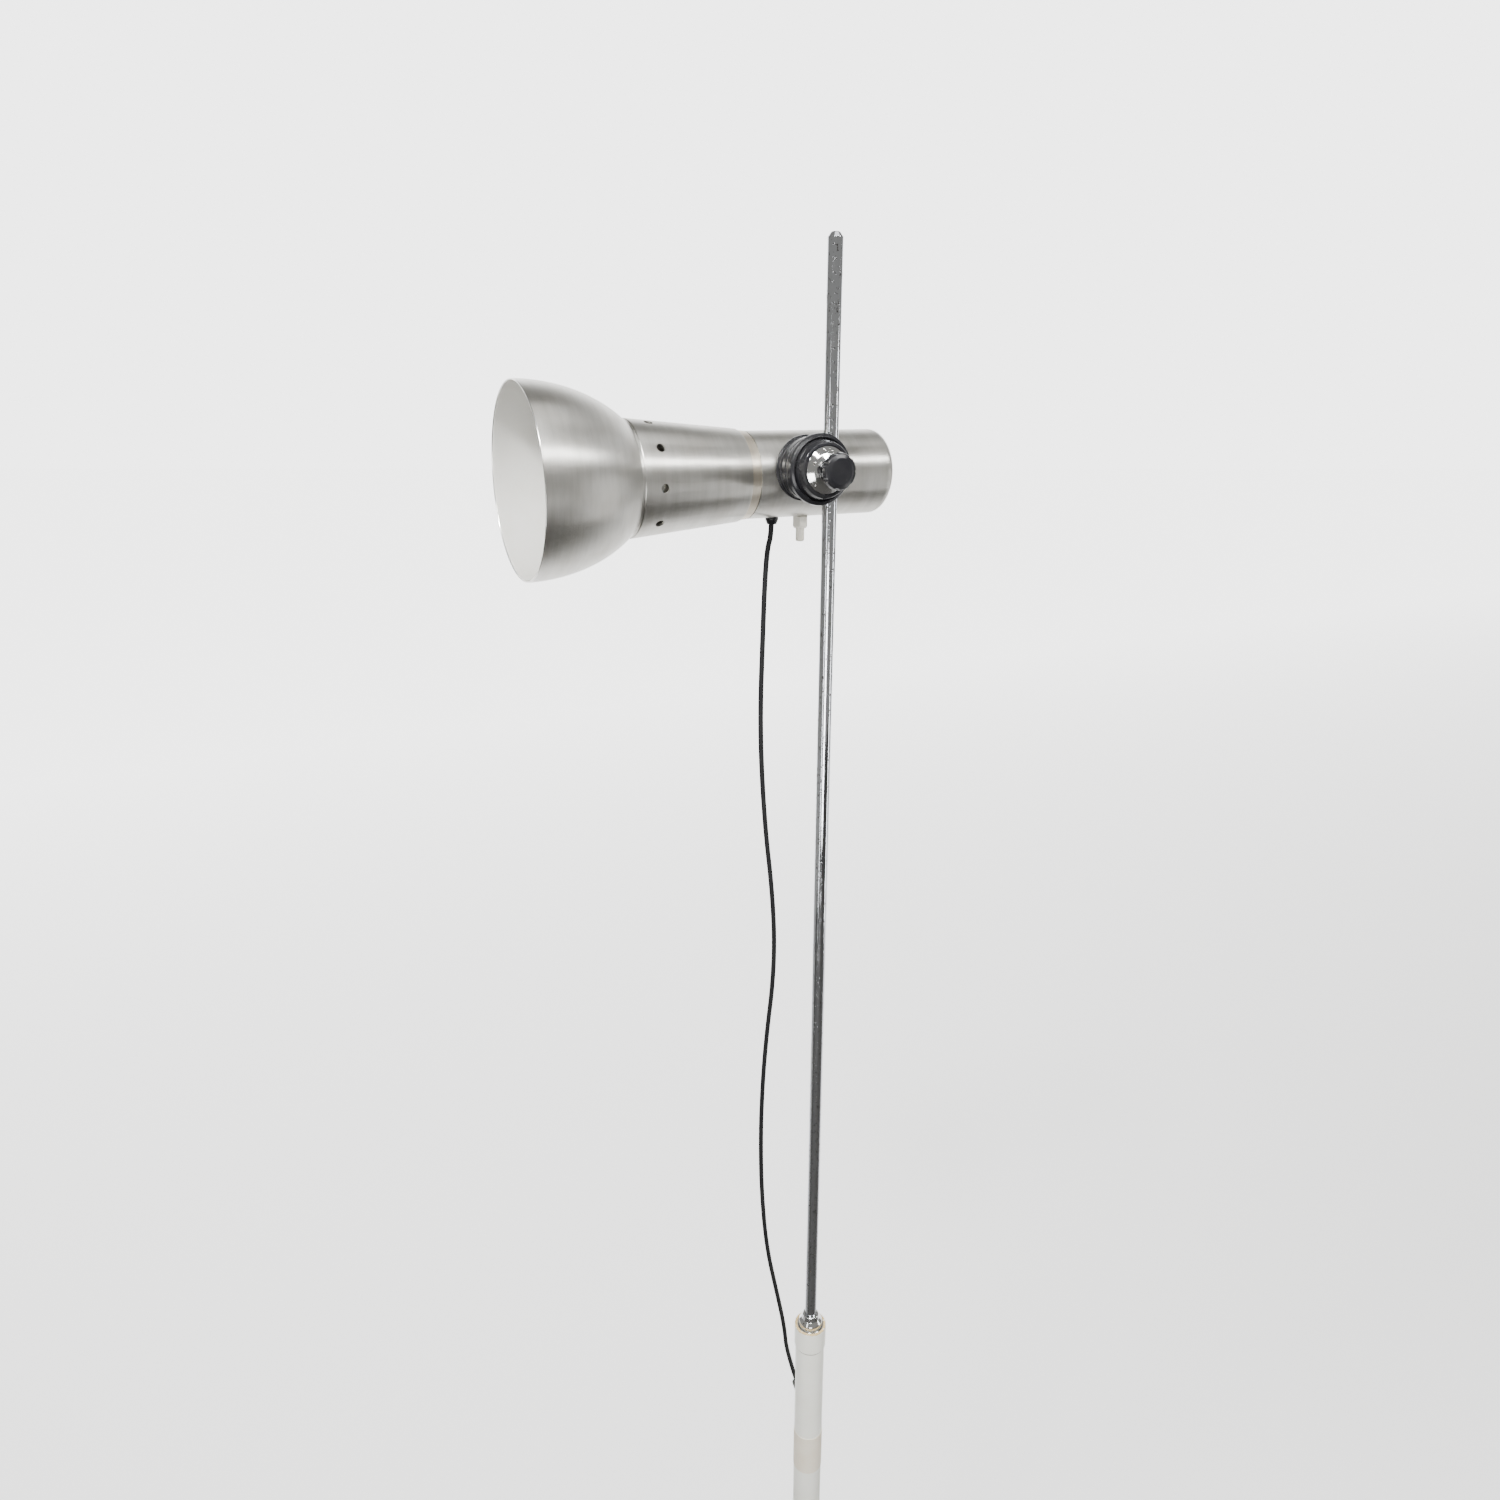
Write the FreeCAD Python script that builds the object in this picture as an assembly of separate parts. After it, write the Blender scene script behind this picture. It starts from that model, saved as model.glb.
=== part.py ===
import FreeCAD, Part
import math
import os

V = FreeCAD.Vector

# The pole stands on the Z axis and the origin is the centre of the floor pad's face.
# The head points along -X and its clamp knob looks along -Y.

# Rod and tube
rod_radius = 6.0
rod_wall = 1.2
tube_radius = 15.0
tube_wall = 1.5
collar_step = 1.2
collar_height = 27.0
rim_z = 1420.0
rod_top_z = 2455.0
rod_hidden = 150.0
run_clear = 0.06
seat_gap = 0.1
bushing_inset = 3.0
bushing_rise = 14.0
sleeve_bottom_z = 1224.0
sleeve_height = 50.0
sleeve_thick = 0.4
stop_ring_drop = 155.0

# Foot and tension spring
pad_radius = 30.0
pad_height = 12.0
guide_wall = 3.5
foot_travel = 30.0
spring_wire = 2.2
spring_turns = 9
spring_length = 90.0
plunger_top_z = 96.0

# Head, turned about its own axis
clamp_depth = 17.3
head_z = 2279.0
sheet = 1.2
housing_radius = 34.7
housing_front = -51.0
housing_rear = 75.0
housing_corner = 8.0
band_front = -60.2
band_step = 0.6
cone_step = 1.5
cone_large_radius = 44.5
junction = -152.4
bell_land = 2.5
mouth_radius = 72.8
bell_length = 103.5
vent_count = 9
vent_radius = 3.5
vent_back = 15.6
vent_first_angle = 6.0

# Clamp, stacked along -Y from the housing to the knob
clamp_x = -14.4
clamp_rise = 6.8
liner_wall = 1.0
half_back = 10.0
clamp_gap = 0.3
washer_thick = 1.0
disc_radius = 24.2
ring_radius = 27.5
ring_front = 12.0
stud_radius = 4.0
stud_clear = 0.08
dome_radius = 18.2
dome_base = 20.0
dome_height = 6.0
knob_back = 24.5
knob_front = 41.0
knob_radius = 14.2
knob_lobes = 7
insert_wall = 2.4

# Switch, lampholder and cord
switch_station = 3.0
button_radius = 3.65
button_travel = 4.0
nut_flat = 12.0
nut_height = 10.0
button_out = 11.0
gland_station = -24.2
gland_radius = 5.5
gland_drop = 5.5
cord_radius = 2.25
holder_front = -112.0
bulb_crown = -206.0
bulb_radius = 29.0
post_drop = 9.0
holder_length = 46.0

tube_inside = tube_radius - tube_wall
plunger_radius = tube_inside - guide_wall
collar_radius = tube_radius + collar_step
bushing_radius = tube_radius - bushing_inset
tube_bottom_z = pad_height + foot_travel + 8
rivet_z = plunger_top_z + spring_length + 8
head_offset = housing_radius + clamp_depth
housing_inside = housing_radius - sheet
band_radius = housing_radius + band_step
cone_small_radius = housing_radius + cone_step
mouth = junction - bell_land - bell_length * math.sqrt(1 - (cone_large_radius / mouth_radius) ** 2)
vent_station = junction + vent_back
holder_back = holder_front + holder_length
clamp_z = head_z + clamp_rise
clamp_axis = V(clamp_x, 0, clamp_z)
swivel_back = half_back + clamp_gap + washer_thick
housing_near = head_offset - housing_radius
rod_bottom_z = rim_z - rod_hidden


def turned(points, axis):
    """A solid turned from (along, radius, corner) points about one of the main axes."""
    places = {
        "x": lambda a, r: V(a, 0, r),
        "y": lambda a, r: V(0, -a, r),
        "z": lambda a, r: V(r, 0, a),
    }
    turn_axis = {"x": V(1, 0, 0), "y": V(0, 1, 0), "z": V(0, 0, 1)}[axis]
    corners = [places[axis](p[0], p[1]) for p in points]
    radii = [p[2] if len(p) > 2 else 0 for p in points]
    wire = rounded(corners, radii, closed=True)
    return Part.Face(wire).revolve(V(0, 0, 0), turn_axis, 360)


def rounded(corners, radii, closed):
    """A wire through the corners, with a tangent arc at each corner that has a radius."""
    count = len(corners)
    edges = []
    starts = []
    ends = []
    arcs = []
    for i, corner in enumerate(corners):
        open_end = not closed and i in (0, count - 1)
        if not radii[i] or open_end:
            starts.append(corner)
            ends.append(corner)
            arcs.append(None)
            continue
        back = (corners[i - 1] - corner).normalize()
        ahead = (corners[(i + 1) % count] - corner).normalize()
        half = math.acos(max(-1, min(1, back.dot(ahead)))) / 2
        reach = radii[i] / math.tan(half)
        middle = (back + ahead).normalize()
        centre = corner + middle * (radii[i] / math.sin(half))
        starts.append(corner + back * reach)
        ends.append(corner + ahead * reach)
        arcs.append(centre - middle * radii[i])
    last = count if closed else count - 1
    for i in range(count):
        if arcs[i] is not None:
            edges.append(Part.Arc(starts[i], arcs[i], ends[i]).toShape())
        if i < last:
            nxt = starts[(i + 1) % count]
            if (nxt - ends[i]).Length > 1e-6:
                edges.append(Part.LineSegment(ends[i], nxt).toShape())
    return Part.Wire(edges)


def on_head(shape):
    shape.translate(V(0, head_offset, head_z))
    return shape


def on_clamp(shape):
    shape.translate(clamp_axis)
    return shape


def rod_of(radius, start, direction, length):
    return Part.makeCylinder(radius, length, start, direction)


def head_core(radius):
    """A long cylinder on the head's axis, for what has to fit the housing's round wall."""
    start = V(housing_front - 20, head_offset, head_z)
    return rod_of(radius, start, V(1, 0, 0), housing_rear - housing_front)


def stud_core(radius):
    """A cylinder on the clamp's axis that passes through the clamp and the housing's near wall."""
    length = head_offset + knob_front
    return rod_of(radius, clamp_axis + V(0, head_offset - 12, 0), V(0, -1, 0), length)


def under_head(radius, station, top, length):
    """A cylinder that hangs down under the head's axis, with its top below the axis."""
    return rod_of(radius, V(station, head_offset, head_z - top), V(0, 0, -1), length)


# Foot

def floor_pad():
    body = turned([(0, 0), (0, pad_radius - 2), (2, pad_radius, 1.5), (8, pad_radius, 3),
                   (pad_height, plunger_radius + 6, 2), (pad_height, 0)], "z")
    pocket = rod_of(plunger_radius + 2, V(0, 0, 5), V(0, 0, 1), pad_height)
    return body.cut(pocket)


def foot_plunger():
    """The steel plunger, with a flange in the pad and a head that slides in the tube."""
    flange = plunger_radius + 2
    head = tube_inside - 0.35
    return turned([(5, 0), (5, flange, 0.6), (pad_height + 2, flange, 0.6), (pad_height + 2, plunger_radius),
                   (plunger_top_z - 4, plunger_radius), (plunger_top_z - 4, head, 0.5),
                   (plunger_top_z, head, 0.5), (plunger_top_z, 6),
                   (plunger_top_z + 10, 5.2, 1), (plunger_top_z + 10, 0)], "z")


def lower_guide():
    """The flanged nylon guide in the tube's lower end that the plunger slides through."""
    bore = plunger_radius + run_clear
    stop = plunger_top_z - 4.3
    return turned([(tube_bottom_z - 4, bore), (tube_bottom_z - 4, tube_radius, 1),
                   (tube_bottom_z, tube_radius), (tube_bottom_z, tube_inside),
                   (stop, tube_inside), (stop, bore)], "z")


def tension_spring():
    """The compression spring between the plunger and the stop, with closed flat ends."""
    middle = tube_inside - spring_wire - 1.4
    bottom = plunger_top_z + spring_wire / 2
    pitch = (spring_length - spring_wire) / spring_turns
    helix = Part.makeHelix(pitch, pitch * spring_turns, middle)
    helix.translate(V(0, 0, bottom))
    ring = Part.Wire(Part.makeCircle(spring_wire / 2, V(middle, 0, bottom), V(0, 1, 0)))
    return Part.Wire(helix).makePipeShell([ring], True, True)


def spring_stop():
    """The plug fixed in the tube that the spring pushes against, bored for the lead inside."""
    low = plunger_top_z + spring_length
    body = turned([(low - 9, 0), (low - 9, 5.2, 1), (low, 6), (low, tube_inside, 0.5),
                   (low + 16, tube_inside, 0.5), (low + 16, 0)], "z")
    return body.cut(rod_of(3, V(0, 0, low - 20), V(0, 0, 1), 60)).cut(stop_rivet())


def stop_rivet():
    """The cross rivet that holds the plug, flush with both sides of the tube."""
    shank = rod_of(2, V(-tube_radius - 0.8, 0, rivet_z), V(1, 0, 0), 2 * tube_radius + 1.6)
    heads = [rod_of(3.6, V(x, 0, rivet_z), V(1, 0, 0), 1.2) for x in (-tube_radius - 1, tube_radius - 0.2)]
    return shank.multiFuse(heads)


# Tube, collar and bushing

def entry_frame():
    """Where the cord goes through the tube's wall, and its direction there."""
    last = V(*cord_route[-1])
    way = (last - V(*cord_route[-2])).normalize()
    return last, way


def tube_blank():
    top = rim_z - collar_height
    pipe = turned([(tube_bottom_z, tube_radius), (top, tube_radius), (top, tube_inside),
                   (tube_bottom_z, tube_inside)], "z")
    end, way = entry_frame()
    return pipe.cut(rod_of(cord_radius + 1.3, end - way * 14, way, 24))


def pole_tube():
    return tube_blank().cut(stop_rivet())


def pole_collar():
    """The painted sleeve on the tube's end, with a narrow groove where the two meet."""
    low = rim_z - collar_height
    shoulder = rim_z - 7
    mouth_bore = tube_inside + 0.1
    spigot = tube_inside - seat_gap
    bore = spigot - 1.1
    return turned([(low + 0.8, tube_radius), (low + 0.8, collar_radius, 0.5), (rim_z, collar_radius, 0.8),
                   (rim_z, mouth_bore, 0.5), (shoulder, mouth_bore), (shoulder, bore), (low - 18, bore),
                   (low - 18, spigot), (low, spigot), (low, tube_radius)], "z")


def rod_bushing():
    """The bright bushing that guides the rod and closes the collar."""
    bore = rod_radius + run_clear
    shank = tube_inside - 1.5
    top = rim_z + bushing_rise
    return turned([(rim_z - 22, bore), (rim_z - 22, shank), (rim_z - 7, shank), (rim_z - 7, tube_inside),
                   (rim_z - 1.5, tube_inside, 0.4), (rim_z - 1.5, bushing_radius),
                   (rim_z + 5, bushing_radius, 2.5), (rim_z + 9, rod_radius + 3.2, 1.6),
                   (top, rod_radius + 2.2, 1), (top, bore)], "z")


def pole_sleeve():
    """The thin cream sleeve wrapped round the tube."""
    top = sleeve_bottom_z + sleeve_height
    outside = tube_radius + sleeve_thick
    return turned([(sleeve_bottom_z, tube_radius), (sleeve_bottom_z, outside), (top, outside),
                   (top, tube_radius)], "z")


def rod_stop_ring():
    """The ring in the tube that the rod's guide comes down on, open at one side for the cord."""
    top = rod_bottom_z - stop_ring_drop
    ring = turned([(top - 12, 8), (top - 12, tube_inside), (top, tube_inside), (top, 8)], "z")
    return ring.cut(Part.makeBox(7, 40, 40, V(-3.5, 4, top - 26)))


def tube_grommet():
    """The slanting rubber grommet round the cord in the tube's wall."""
    end, way = entry_frame()
    body = rod_of(cord_radius + 2.6, end - way * 7, way, 12.5)
    body = body.cut(rod_of(cord_radius, end - way * 20, way, 60))
    body = body.cut(tube_blank())
    return max(body.Solids, key=lambda s: s.Volume)


# Rod

def chrome_rod():
    """The chromed rod, a thin tube that carries the head and slides in the pole."""
    top = rod_top_z - 5
    return turned([(rod_bottom_z, rod_radius), (top, rod_radius), (top, rod_radius - rod_wall),
                   (rod_bottom_z, rod_radius - rod_wall)], "z")


def rod_cap():
    """The domed plug in the rod's upper end."""
    top = rod_top_z - 5
    return turned([(top - 14, 0), (top - 14, rod_radius - rod_wall, 0.6), (top, rod_radius - rod_wall),
                   (top, rod_radius), (top + 1.2, rod_radius, 0.8), (rod_top_z, 3.2, 2.4),
                   (rod_top_z, 0)], "z")


def rod_guide():
    """The nylon guide on the rod's lower end, notched so that the cord can pass."""
    inside = tube_inside - run_clear
    low = rod_bottom_z - 4
    body = turned([(low, 0), (low, inside, 0.6), (low + 10, inside, 0.6), (low + 10, rod_radius),
                   (low + 4, rod_radius), (low + 4, rod_radius - rod_wall),
                   (low + 16, rod_radius - rod_wall, 1), (low + 16, 0)], "z")
    return body.cut(Part.makeBox(6.6, 20, 40, V(-3.3, 7.2, low - 10)))


# Clamp

def rod_liner():
    """The split plastic liner between the rod and the clamp's two halves."""
    bore = rod_radius + run_clear
    outside = bore + liner_wall
    tall = math.sqrt(ring_radius ** 2 - (abs(clamp_x) + rod_radius + 2) ** 2)
    return turned([(clamp_z - tall, bore), (clamp_z - tall, outside), (clamp_z + tall, outside),
                   (clamp_z + tall, bore)], "z")


def liner_space():
    """The round space for the liner, with the clamp's running clearance round it."""
    radius = rod_radius + run_clear + liner_wall + run_clear
    return rod_of(radius, V(0, 0, clamp_z - 60), V(0, 0, 1), 120)


def clamp_back_half():
    """The rear half, a plain disc with one fine groove round its edge."""
    body = turned([(-half_back, 0), (-half_back, disc_radius, 1.2), (-4, disc_radius, 0.8),
                   (-3.2, disc_radius - 1.2), (-2.4, disc_radius, 0.5), (0, disc_radius), (0, 0)], "y")
    return on_clamp(body).cut(liner_space()).cut(stud_core(stud_radius + stud_clear))


def clamp_front_half():
    """The front half, whose wide rim is the widest ring of the clamp."""
    body = turned([(0, 0), (0, disc_radius), (3, disc_radius, 0.6), (4.2, disc_radius - 1),
                   (5.2, ring_radius - 1, 0.6), (7.5, ring_radius, 1.8),
                   (ring_front - 1.5, ring_radius - 0.4, 1.6),
                   (ring_front, ring_radius - 3.2, 0.8), (ring_front - 1.6, ring_radius - 4.4),
                   (ring_front - 1.6, 0)], "y")
    return on_clamp(body).cut(liner_space()).cut(stud_core(stud_radius + stud_clear))


def trim_ring():
    """The narrow raised ring between the two larger rings."""
    low = ring_front - 1.6
    return on_clamp(turned([(low, 20), (low, ring_radius - 4.4), (low + 2.6, ring_radius - 5.4, 0.8),
                            (low + 3, 21.6), (low + 3, 20)], "y"))


def pressure_ring():
    """The smaller black ring that presses on the front half."""
    low = ring_front - 1.6
    ring = turned([(low, stud_radius + stud_clear), (low, 20), (low + 3, 20), (low + 3, 21.6),
                   (low + 4.4, 22.4, 1), (dome_base - 0.5, 21, 1.4), (dome_base, dome_radius + 0.2),
                   (dome_base - 2, dome_radius), (dome_base - 2, stud_radius + stud_clear)], "y")
    return on_clamp(ring)


def dome_washer():
    """The bright domed washer under the knob."""
    base = dome_base - 2
    peak = dome_base + dome_height - 2
    hole = stud_radius + stud_clear
    return on_clamp(turned([(base, hole), (base, dome_radius, 0.3), (base + 1.6, dome_radius, 0.7),
                            (base + 4.2, dome_radius - 5, 6), (peak, hole + 4.6, 3), (peak, hole)], "y"))


def knob_insert():
    """The threaded brass insert in the knob."""
    hole = stud_radius + stud_clear
    outside = hole + insert_wall
    end = knob_front - 8
    return on_clamp(turned([(knob_back, hole), (knob_back, outside), (end, outside), (end, hole)], "y"))


def knob_grip():
    """The black knob with a narrow neck, a wide face and hollows between its lobes."""
    body = turned([(knob_back, 0), (knob_back, 7.4, 0.8), (knob_back + 3, 8.2, 2), (knob_back + 8, 11.6, 3),
                   (knob_front - 6, knob_radius, 2.5), (knob_front - 1.4, knob_radius - 0.8, 1.6),
                   (knob_front, knob_radius - 4.5, 3), (knob_front, 0)], "y")
    scoop = turned([(knob_back + 4, 0), (knob_back + 4, 2.4), (knob_front + 4, 3.6),
                    (knob_front + 4, 0)], "y")
    cuts = []
    for i in range(knob_lobes):
        one = scoop.copy()
        one.translate(V(knob_radius + 1.4, 0, 0))
        one.rotate(V(0, 0, 0), V(0, 1, 0), 360 / knob_lobes * i)
        cuts.append(one)
    body = on_clamp(body.cut(cuts))
    depth = knob_front - 8 - knob_back
    start = clamp_axis - V(0, knob_back, 0)
    return body.cut(rod_of(stud_radius + stud_clear + insert_wall, start, V(0, -1, 0), depth))


def swivel_disc():
    """The disc fixed to the housing that the clamp turns against, with a saddle that fits the housing."""
    back = housing_near - 0.9
    disc = turned([(-swivel_back, 0), (-swivel_back, disc_radius, 0.8), (-back + 1.8, disc_radius, 0.5),
                   (-back + 1.6, disc_radius + 1.2, 0.3), (-back, disc_radius + 1.2, 0.3), (-back, 15),
                   (-housing_near - 6, 13.5), (-housing_near - 6, 0)], "y")
    return on_clamp(disc).cut(head_core(housing_radius)).cut(stud_core(stud_radius))


def friction_washer():
    """The fibre washer between the swivel disc and the clamp."""
    front = -swivel_back + washer_thick
    outside = disc_radius - 2
    return on_clamp(turned([(-swivel_back, stud_radius), (-swivel_back, outside), (front, outside),
                            (front, stud_radius)], "y"))


def clamp_stud():
    """The stud through the whole clamp, held inside the housing by a nut."""
    inner = housing_near + sheet + 9
    return on_clamp(turned([(-inner, 0), (-inner, stud_radius, 0.6), (knob_front - 10, stud_radius, 0.6),
                            (knob_front - 10, 0)], "y"))


def stud_washer():
    """The shaped washer inside the housing, curved like the wall that it bears on."""
    start = clamp_axis + V(0, housing_near - 2, 0)
    body = rod_of(9, start, V(0, 1, 0), 6.5)
    return body.common(head_core(housing_inside)).cut(stud_core(stud_radius))


def hexagon(flat, height, centre, direction):
    """A hexagonal nut blank with a chamfered outline."""
    corner = flat / math.sqrt(3)
    angles = [math.radians(60 * i) for i in range(7)]
    points = [V(corner * math.cos(a), corner * math.sin(a), 0) for a in angles]
    blank = Part.Face(Part.makePolygon(points)).extrude(V(0, 0, height))
    cone = turned([(0, 0), (0, flat / 2), (0.7, corner + 0.1), (height - 0.7, corner + 0.1),
                   (height, flat / 2), (height, 0)], "z")
    nut = blank.common(cone)
    nut.Placement = FreeCAD.Placement(centre, FreeCAD.Rotation(V(0, 0, 1), direction))
    return nut


def stud_nut():
    """The nut on the stud's inner end."""
    start = clamp_axis + V(0, housing_near + 4.5, 0)
    return hexagon(13, 6.5, start, V(0, 1, 0)).cut(stud_core(stud_radius))


# Head shell

def housing():
    """The spun rear cup with a rounded closed end and its three wall holes."""
    inner = housing_inside
    shell = on_head(turned([(housing_front, inner), (housing_front, housing_radius),
                            (housing_rear, housing_radius, housing_corner), (housing_rear, 0),
                            (housing_rear - sheet, 0),
                            (housing_rear - sheet, inner, housing_corner - sheet)], "x"))
    holes = [
        rod_of(stud_radius, clamp_axis + V(0, housing_near + 12, 0), V(0, -1, 0), 14),
        under_head(button_radius + 1.4, switch_station, inner - 6, 12),
        under_head(cord_radius + 1.3, gland_station, inner - 6, 12),
    ]
    return shell.cut(holes)


def band_ring():
    """The champagne band where the cone plugs into the housing, with a fine groove each side."""
    groove = housing_radius - 0.8
    tail = housing_front + 14
    bore = housing_inside - sheet
    return on_head(turned([(band_front, bore), (band_front, band_radius - 0.4),
                           (band_front + 0.6, band_radius + 0.3, 0.3),
                           (housing_front - 0.9, band_radius - 0.4, 0.4), (housing_front - 0.6, groove),
                           (housing_front, groove), (housing_front, housing_inside), (tail, housing_inside),
                           (tail, bore)], "x"))


def cone_radius(station):
    share = (station - junction) / (band_front - junction)
    return cone_large_radius + (cone_small_radius - cone_large_radius) * share


def cone():
    """The tapering spun shell with a ring of round vents near the bell."""
    low = band_front
    floor = low - sheet
    bore = housing_inside - sheet
    shell = on_head(turned([(junction, cone_large_radius - sheet), (junction, cone_large_radius),
                            (low, cone_small_radius, 0.5), (low, bore), (floor, bore),
                            (floor, cone_radius(floor) - sheet)], "x"))
    vents = []
    for i in range(vent_count):
        angle = math.radians(vent_first_angle + 360 / vent_count * i)
        way = V(0, -math.cos(angle), -math.sin(angle))
        vents.append(rod_of(vent_radius, V(vent_station, head_offset, head_z) + way * 30, way, 25))
    return shell.cut(vents)


def bell():
    """The spun bell, an elliptical shell from the mouth to the neck, with a lip round its mouth."""
    outer = elliptical(bell_length, mouth_radius, cone_large_radius)
    inner = elliptical(bell_length - sheet, mouth_radius - sheet, cone_large_radius - sheet - 1.2)
    neck = junction + 8
    neck_out = cone_radius(neck) - sheet - seat_gap
    seat = cone_large_radius - sheet - seat_gap
    edges = [outer.toShape(), inner.toShape()]
    path = [outer.value(outer.FirstParameter), V(junction, 0, cone_large_radius), V(junction, 0, seat),
            V(neck, 0, neck_out), V(neck, 0, neck_out - 1.2), inner.value(inner.FirstParameter)]
    for a, b in zip(path, path[1:]):
        edges.append(Part.LineSegment(a, b).toShape())
    lip = [inner.value(inner.LastParameter), outer.value(outer.LastParameter)]
    edges.append(Part.LineSegment(lip[0], lip[1]).toShape())
    wire = Part.Wire(Part.__sortEdges__(edges))
    return on_head(Part.Face(wire).revolve(V(0, 0, 0), V(1, 0, 0), 360))


def elliptical(length, radius, end_radius):
    """The quarter ellipse from the mouth towards the neck, stopped at a given radius."""
    ellipse = Part.Ellipse(V(mouth, 0, 0), length, radius)
    ellipse.Axis = V(0, -1, 0)
    ellipse.XAxis = V(1, 0, 0)
    stop = math.asin(end_radius / radius)
    return Part.ArcOfEllipse(ellipse, stop, math.pi / 2)


# Lampholder and bulb

def holder_shell():
    """The skirted lampholder body that carries the thread."""
    back = holder_back
    return on_head(turned([(holder_front, 14.2), (holder_front, 19, 1), (holder_front + 22, 19, 1),
                           (holder_front + 24, 17.4, 0.8), (back - 8, 17, 3), (back, 12, 1), (back, 0),
                           (back - 5, 0), (back - 5, 14.2)], "x"))


def holder_contact():
    """The sprung centre contact and its base inside the lampholder."""
    back = holder_back - 5
    return on_head(turned([(back, 0), (back, 11), (back - 3, 11), (back - 3, 4), (back - 8.8, 3, 1),
                           (back - 8.8, 0)], "x"))


def holder_nipple():
    """The threaded nipple that joins the lampholder to its bracket."""
    back = holder_back
    return on_head(turned([(back, 3), (back, 5), (back + 20, 5), (back + 20, 3)], "x"))


def holder_bracket():
    """The pressed steel bridge across the band that carries the lampholder."""
    station = housing_front + 1.5
    inner = housing_inside - sheet
    plate = turned([(station - 3.5, 5), (station - 3.5, inner), (station - 1.9, inner),
                    (station - 1.9, 5)], "x")
    strip = Part.makeBox(10, 2 * inner, 22, V(station - 6, -inner, -11))
    return on_head(plate.common(strip))


def nipple_nut():
    """The nut that holds the nipple against the bracket."""
    at = V(housing_front - 0.4, head_offset, head_z)
    return hexagon(14, 4, at, V(1, 0, 0)).cut(rod_of(5, at - V(10, 0, 0), V(1, 0, 0), 30))


def bulb_cap():
    """The bulb's threaded metal cap and its centre contact."""
    start = holder_front + 2
    end = holder_front + 29
    edge = [(start, 0), (start, 12.4)]
    for i in range(6):
        edge.append((start + 4 + 3.4 * i, 13.2, 0.6))
        edge.append((start + 5.7 + 3.4 * i, 12.3, 0.6))
    edge += [(end, 9, 1), (end + 3.2, 4, 0.8), (end + 3.2, 0)]
    return on_head(turned(edge, "x"))


def bulb_glass():
    """The round bulb, whose crown stays well inside the bell."""
    start = holder_front + 2
    return on_head(turned([(bulb_crown, 0), (bulb_crown, bulb_radius, bulb_radius - 0.5),
                           (bulb_crown + 62, bulb_radius, 26), (start - 14, 14, 8), (start, 12, 1),
                            (start, 0)], "x"))


# Switch

def switch_nut():
    """The cream nut under the head, a short hexagon that tapers towards the button."""
    top = V(switch_station, head_offset, head_z - housing_radius)
    nut = hexagon(nut_flat, nut_height, top, V(0, 0, -1))
    taper = turned([(0, 0), (0, 8), (6, 8), (nut_height, 5), (nut_height, 0)], "z")
    taper.Placement = FreeCAD.Placement(top, FreeCAD.Rotation(V(0, 0, 1), V(0, 0, -1)))
    nut = nut.common(taper)
    return nut.cut(head_core(housing_radius)).cut(under_head(button_radius + 1.4, switch_station, 0, 60))


def switch_body():
    """The push switch inside the housing, with the threaded neck that the nut holds."""
    inner = housing_inside
    neck_end = housing_radius + nut_height - 0.6
    case = under_head(8, switch_station, inner - 18, 16)
    neck = under_head(button_radius + 1.4, switch_station, inner - 3, neck_end - inner + 3)
    bore = under_head(button_radius + 0.08, switch_station, inner - 12, 60)
    return case.fuse(neck).cut(bore)


def switch_button():
    """The long push button, with room above it for its travel."""
    top = housing_inside - 12 + button_travel + 0.8
    low = housing_radius + nut_height + button_out
    stem = turned([(-low, 0), (-low, button_radius, 1.6), (-top, button_radius, 0.5), (-top, 0)], "z")
    stem.translate(V(switch_station, head_offset, head_z))
    return stem


# Wiring inside the head

def head_gland():
    """The black gland in the housing's underside that the cord comes out of."""
    bottom = V(gland_station, head_offset, head_z)
    wall = -housing_radius
    low = wall - gland_drop
    neck = cord_radius + 1.3
    body = turned([(low, 0), (low, gland_radius - 1.6, 0.5), (wall - 1.6, gland_radius, 1),
                   (wall + 0.8, gland_radius), (wall + 0.8, neck), (wall + 3.2, neck),
                   (wall + 3.2, gland_radius - 0.8), (wall + 5.2, gland_radius - 1.2, 0.8),
                   (wall + 5.2, 0)], "z")
    body.translate(bottom)
    body = body.cut(housing()).cut(under_head(cord_radius, gland_station, 20, 40))
    return max(body.Solids, key=lambda s: s.Volume)


def cord_grip():
    """The strain relief that grips the cord inside, screwed to a lug on the bracket."""
    middle = V(gland_station, head_offset, head_z - housing_radius + 14)
    block = Part.makeBox(12, 10, 9, middle - V(6, 5, 4.5))
    return block.cut(rod_of(cord_radius, middle - V(0, 0, 20), V(0, 0, 1), 40))


def terminal_block():
    """The two-way terminal block, with its wire holes."""
    corner = V(gland_station + 2, head_offset - 9, head_z - post_drop)
    block = Part.makeBox(20, 18, 12, corner)
    holes = []
    for side in (5, 13):
        holes.append(rod_of(1.8, corner + V(-5, side, 5), V(1, 0, 0), 40))
        holes.append(rod_of(1.6, corner + V(6, side, 7), V(0, 0, 1), 10))
    return block.cut(holes)


def terminal_screws():
    corner = V(gland_station + 2, head_offset - 9, head_z - post_drop)
    return Part.makeCompound([rod_of(1.6, corner + V(6, side, 7), V(0, 0, 1), 4) for side in (5, 13)])


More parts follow.
